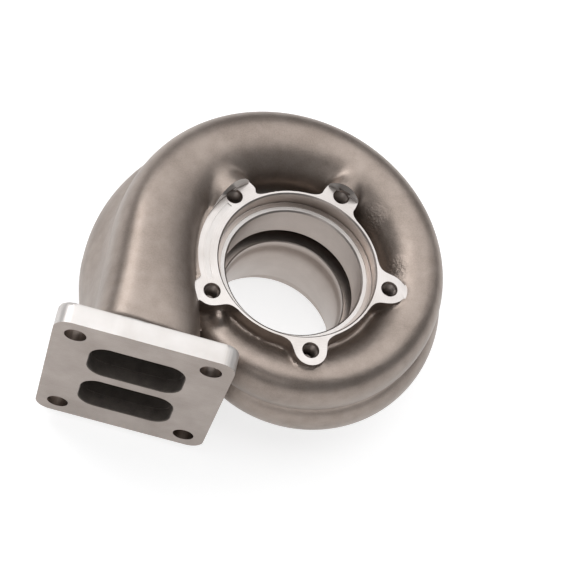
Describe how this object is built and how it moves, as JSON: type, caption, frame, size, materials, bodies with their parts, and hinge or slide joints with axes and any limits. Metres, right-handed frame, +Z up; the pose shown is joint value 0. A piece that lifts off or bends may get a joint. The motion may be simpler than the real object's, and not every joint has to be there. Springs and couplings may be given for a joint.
{
  "type": "turbocharger turbine housing",
  "caption": "Twin-scroll turbine housing: a cast volute with a rectangular inlet flange, a machined ring with bolt ears for the bearing housing, and a round gas outlet.",
  "frame": {"origin": "on the shaft axis at the outlet face, which the part stands on", "axes": "+Z up the shaft axis towards the bearing housing, -Y out of the inlet flange, +X to the right seen from the inlet with +Z up"},
  "size_m": [0.3074, 0.2804, 0.1666],
  "materials": {
    "cast_iron": "cast skin with machined faces"
  },
  "bodies": {
    "root": {"turbine_housing": "cast_iron"}
  },
  "joints": []
}
